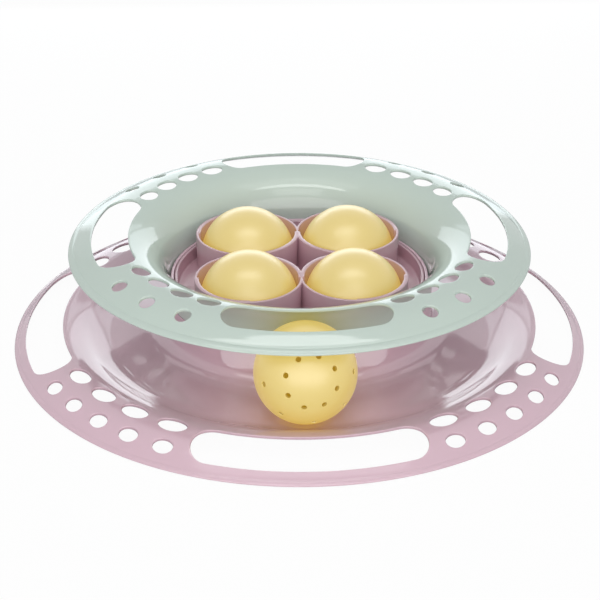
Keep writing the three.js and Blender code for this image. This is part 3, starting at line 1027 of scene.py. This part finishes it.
def ball_cells(shell, side):
    """The faces of the outer (True) and inner (False) skin, with their angle from the pole, by column."""
    skins = {True: {}, False: {}}
    for face in shell.faces:
        middle = face.calc_center_median()
        if side * middle.z > SKIN_START:
            outer_skin = middle.length > BALL_RADIUS - BALL_WALL / 2
            column = int(math.degrees(math.atan2(middle.y, middle.x)) % 360 // SNACK_STEP)
            polar = math.degrees(math.acos(side * middle.z / middle.length))
            skins[outer_skin].setdefault(column, []).append((polar, face))
    return skins


def open_skin(shell, patch, axis, radius):
    """Grows a round hole from a window in one skin, and gives its edge."""
    border = patch_border(patch)
    bmesh.ops.delete(shell, geom=list(patch), context="FACES")
    for spare in (SNACK_SPARE, 0):
        grown = bmesh.ops.extrude_edge_only(shell, edges=border)["geom"]
        reach = SNACK_HOLE_RADIUS + spare
        for vert in grown_verts(grown):
            away = vert.co - axis * vert.co.dot(axis)
            vert.co = away.normalized() * reach + axis * math.sqrt(radius**2 - reach**2)
        border = grown_border(grown)
    return border


def drill_ball(shell, side):
    """Drills two rows of eight holes in a half shell. Side is 1 for the half with the upper pole."""
    skins = ball_cells(shell, side)
    edges = []
    for row in SNACK_ROWS:
        for turn in range(SNACK_HOLES):
            bearing = side * row["phase"] + 360 / SNACK_HOLES * turn
            first = round((bearing - row["half"]) / SNACK_STEP)
            last = round((bearing + row["half"]) / SNACK_STEP)
            across, along = on_arc(1, row["polar"])[::-1]
            axis = turned_about_z(math.radians(bearing)) @ Vector((across, 0, side * along))
            loops = []
            for outer_skin, radius in ((True, BALL_RADIUS), (False, INNER_RADIUS)):
                patch = dict.fromkeys(
                    face
                    for column in range(first, last)
                    for place, face in skins[outer_skin].get(column % SNACK_COLUMNS, [])
                    if abs(place - row["polar"]) < SNACK_WINDOW
                )
                loops.append(open_skin(shell, patch, axis, radius))
            bmesh.ops.bridge_loops(shell, edges=loops[0] + loops[1])
            edges += loops[0]
    bmesh.ops.bevel(
        shell, geom=edges, offset=SNACK_EDGE, segments=2, profile=0.5,
        affect="EDGES", material=-1, clamp_overlap=True,
    )
    bmesh.ops.recalc_face_normals(shell, faces=shell.faces)
    return len(edges)


print("snack ball:", SNACK_HOLES * len(SNACK_ROWS), "holes in each half")

# %% The snack ball's halves
POLE_BEARING = math.radians(5.4)
POLE_TILT = math.radians(72.4)
SNACK_RINGS = 59
snack_turn = turned_about_z(POLE_BEARING) @ Matrix.Rotation(POLE_TILT, 3, "X")
for node, body, maker, side in (
    ("snack_ball_front", "snack_ball_cap", upper_half, 1),
    ("snack_ball_back", "snack_ball", lower_half, -1),
):
    shell = maker(SNACK_COLUMNS, SNACK_RINGS, SNACK_RINGS)
    print(node, "hole edges:", drill_ball(shell, side))
    bmesh.ops.rotate(shell, cent=(0, 0, 0), matrix=snack_turn, verts=shell.verts)
    bmesh.ops.translate(shell, vec=snack_spot, verts=shell.verts)
    finish_piece(shell, "yellow_" + node, body, [node], snack_plastic)

# %% [markdown]
# ## Foot pads
# Four thin rubber pads keep the dish from sliding. They are plain discs with a rounded lower edge, turned
# like the rest.

# %% Four foot pads
PAD_RADIUS = 8
PAD_COLUMNS = 64
pad_place = (HUB_OUTER + CHANNEL_EDGE) / 2
for corner in range(4):
    pen = Pen(0, 0)
    pen.line(0, PAD_HEIGHT).line(PAD_RADIUS, PAD_HEIGHT, rounding=0.12).line(PAD_RADIUS, 0, rounding=0.35)
    pad = turn_on_lathe(pen.close(), PAD_COLUMNS)
    bmesh.ops.translate(pad, vec=corner_spot(pad_place, corner, 0), verts=pad.verts)
    node = f"foot_pad_{corner + 1}"
    finish_piece(pad, "grey_" + node, "base", [node], grey_rubber)

# %% [markdown]
# ## The white studio
# The toy stands on a white floor with nothing else about it. The camera sees the floor and the world as
# white, and so do reflections of the world, but the light that they shed on the toy stays at a plain
# level. More lamp light would also make the floor white, but it would bleach the pale plastics.

# %% Floor and world
WHITE = (1, 1, 1, 1)
FLOOR_RADIUS = 3.0
FLOOR_SIDES = 96
FLOOR_PAINT = (0.9, 0.9, 0.9, 1)
FLOOR_WHITE = 0.96
AMBIENT = (0.97, 1.0, 1.03, 1)
AMBIENT_STRENGTH = 0.415
disc = bmesh.new()
bmesh.ops.create_circle(disc, cap_ends=True, segments=FLOOR_SIDES, radius=FLOOR_RADIUS)
floor = placed("floor", as_mesh(disc, "floor"))
ground = Finish(bpy.data.materials.new("white_floor"))
seen = ground.node("ShaderNodeLightPath", output="Is Camera Ray")
paint = ground.node("ShaderNodeBsdfDiffuse", inputs={"Color": FLOOR_PAINT})
glow = ground.node("ShaderNodeEmission", inputs={"Color": WHITE, "Strength": 1.0})
lit = ground.node("ShaderNodeMixShader", inputs={0: FLOOR_WHITE * seen, 1: paint, 2: glow})
floor.data.materials.append(ground.surface(lit))

scene.world = bpy.data.worlds.new("studio")
sky = Finish(scene.world)
seen = sky.node("ShaderNodeLightPath", output="Is Camera Ray")
through = sky.node("ShaderNodeLightPath", output="Is Transmission Ray")
mirrored = sky.node("ShaderNodeLightPath", output="Is Glossy Ray")
plain = sky.node("ShaderNodeBackground", inputs={"Color": AMBIENT, "Strength": AMBIENT_STRENGTH})
white = sky.node("ShaderNodeBackground", inputs={"Color": WHITE})
lit = sky.node("ShaderNodeMixShader", inputs={0: seen + through + mirrored, 1: plain, 2: white})
sky.surface(lit, "ShaderNodeOutputWorld")
print("floor and world ready, ambient light", AMBIENT_STRENGTH)

# %% [markdown]
# ## Lamps
# The glossy dishes show the lamps as long reflections, so the lamps are cards and boxes whose brightness
# is stated as it looks. A cool card behind the toy is made of layers, each a little larger and further
# off, so that its reflections fade out at the edge. One plain card would leave a hard edge. A small box
# and a panel hang above, a key and a warm fill stand in front, and a box stands at each side. Two narrow
# spots shine through the upper dish's front slot and leave pale patches on the hub. They light the base
# dish alone, so that the mint dish and the ball keep their own shading.

# %% Soft lamps
COOL = (0.87, 0.95, 1.0)
WARM = (1.0, 0.95, 0.95)
NEUTRAL = (1, 1, 1)
TOY_MIDDLE = (0, 0, 0.04)


def aimed(lamp, spot, direction):
    lamp.location = spot
    lamp.rotation_euler = direction.to_track_quat("-Z", "Y").to_euler()
    return lamp


def softbox(name, spot, size, brightness, aim=TOY_MIDDLE, colour=NEUTRAL, shape="RECTANGLE"):
    """A soft lamp whose face looks as bright as stated, where 1 is white."""
    data = bpy.data.lights.new(name, "AREA")
    data.shape = shape
    data.size, data.size_y = size
    data.color = colour
    data.energy = brightness * math.pi * size[0] * size[1]
    return aimed(placed(name, data), spot, Vector(aim) - Vector(spot))


for away, width, height, brightness in (
    (0.456, 0.49, 0.234, 0.55),
    (0.460, 0.51, 0.239, 0.5),
    (0.464, 0.53, 0.244, 0.45),
    (0.468, 0.72, 0.28, 0.1),
):
    middle = height / 2
    softbox("back_card", (0, away, middle), (width, height), brightness, (0, -1, middle), COOL)
softbox("back_high", (0.016, 0.46, 0.262), (0.208, 0.026), 0.9, (0.016, -1, 0.262), COOL)
softbox("top_box", (-0.012, -0.0555, 0.27), (0.22, 0.04), 2.7, (-0.012, -0.0555, 0), shape="ELLIPSE")
softbox("top_panel", (0, -0.13, 0.62), (0.6, 0.24), 0.8, (0, -0.13, 0))
softbox("key", (0, -0.9, 1.1), (0.8, 0.4), 1.4)
softbox("front_fill", (0, -1.6, 0.55), (2.6, 1.1), 1.66, colour=WARM)
softbox("left_box", (-0.85, -0.85, 0.38), (0.33, 0.3), 1.6)
softbox("right_box", (0.85, -0.95, 0.38), (0.33, 0.3), 1.4)
print("soft lamps:", len(bpy.data.lights))

# %% Spots through the front slot
SPOT_POWER = 4.5
SPOT_COLOUR = (0.6, 1.0, 0.87)
SPOT_ANGLE = math.radians(3.7)
SPOT_BLEND = 0.1
SPOT_RADIUS = 0.002
SPOT_SIDES = (-0.024, 0.022)
SPOT_AWAY = -0.348
SPOT_HEIGHT = 0.34
SPOT_DIRECTION = Vector((0, 0.2703, -0.2951))
slot_light = bpy.data.collections.new("lit_through_the_slot")
slot_light.objects.link(scene.objects["pink_base_dish"])
for side in SPOT_SIDES:
    data = bpy.data.lights.new("slot_spot", "SPOT")
    data.energy = SPOT_POWER
    data.color = SPOT_COLOUR
    data.spot_size = SPOT_ANGLE
    data.spot_blend = SPOT_BLEND
    data.shadow_soft_size = SPOT_RADIUS
    lamp = aimed(placed("slot_spot", data), (side, SPOT_AWAY, SPOT_HEIGHT), SPOT_DIRECTION)
    lamp.light_linking.receiver_collection = slot_light

# %% [markdown]
# ## The camera
# The camera looks down on the toy from the front at a low angle, so the dishes look like flat ellipses.
# Its place and lens follow the picture's own perspective.

# %% Camera
CAMERA_BEARING = math.radians(-92.3)
CAMERA_AWAY = 0.6056
CAMERA_HEIGHT = 0.3302
CAMERA_PITCH = math.radians(27.9)
CAMERA_ROLL = math.radians(0.14)
FOCAL_PIXELS = 1615
IMAGE_PIXELS = 600
SENSOR_WIDTH = 36
SHIFT_RIGHT_PIXELS = 0.7
SHIFT_UP_PIXELS = 10.0
camera_data = bpy.data.cameras.new("camera")
camera_data.sensor_width = SENSOR_WIDTH
camera_data.lens = FOCAL_PIXELS / IMAGE_PIXELS * SENSOR_WIDTH
camera_data.shift_x = SHIFT_RIGHT_PIXELS / IMAGE_PIXELS
camera_data.shift_y = SHIFT_UP_PIXELS / IMAGE_PIXELS
camera = placed("camera", camera_data)
camera.location = (
    CAMERA_AWAY * math.cos(CAMERA_BEARING), CAMERA_AWAY * math.sin(CAMERA_BEARING), CAMERA_HEIGHT
)
aim = turned_about_z(CAMERA_BEARING + QUARTER) @ Matrix.Rotation(QUARTER - CAMERA_PITCH, 3, "X")
camera.rotation_euler = (aim @ turned_about_z(CAMERA_ROLL)).to_euler()
scene.camera = camera
scene.view_settings.view_transform = "Standard"
print("camera at", tuple(round(v, 4) for v in camera.location))
